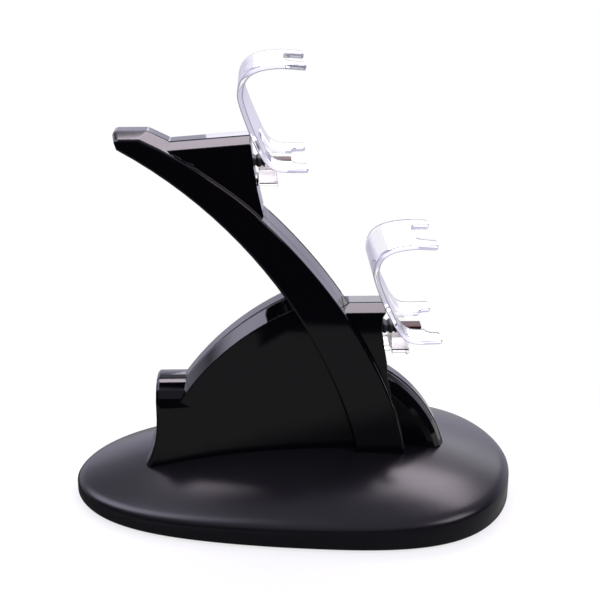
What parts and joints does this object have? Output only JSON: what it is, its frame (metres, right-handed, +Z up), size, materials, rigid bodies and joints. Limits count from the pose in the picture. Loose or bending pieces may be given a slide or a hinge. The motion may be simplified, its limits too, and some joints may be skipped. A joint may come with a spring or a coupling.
{
  "type": "controller charging station",
  "caption": "Free-standing charging station whose glossy arched tower on a domed base carries clear hooks with plugs for game controllers.",
  "frame": {"origin": "bottom centre of the base, on the surface that the feet rest on", "axes": "+X to the front, where the controllers hang, +Z up, Y = 0 the middle plane of the tower"},
  "size_m": [0.184, 0.1162, 0.1823],
  "materials": {
    "satin_black": "satin black",
    "matte_black": "matt black",
    "rubber": "dark rubber",
    "steel": "zinc plated",
    "gloss_black": "high gloss black",
    "clear": "clear",
    "plated": "plated, warm grey",
    "board": "solder mask green",
    "milky": "milky",
    "lead": "dull red sheath"
  },
  "bodies": {
    "root": {"base_cover": "satin_black", "base_plate": "matte_black", "foot_1": "rubber", "foot_2": "rubber", "foot_3": "rubber", "foot_4": "rubber", "base_screw_1": "steel", "base_screw_2": "steel", "base_screw_3": "steel", "base_screw_4": "steel", "body_screw_1": "steel", "body_screw_2": "steel", "body_screw_3": "steel", "body_screw_4": "steel", "near_shell": "gloss_black", "far_shell": "gloss_black", "arm_front_cover": "gloss_black", "upper_holder": "clear", "upper_plug_shell": "plated", "upper_plug_core": "matte_black", "upper_plug_boot": "rubber", "upper_led_board": "board", "upper_led": "milky", "upper_lead": "lead", "lower_holder": "clear", "lower_plug_shell": "plated", "lower_plug_core": "matte_black", "lower_plug_boot": "rubber", "lower_led_board": "board", "lower_led": "milky", "lower_lead": "lead", "main_board": "board", "charge_chip": "matte_black", "inlet_shell": "plated", "inlet_tongue": "matte_black"}
  },
  "joints": []
}
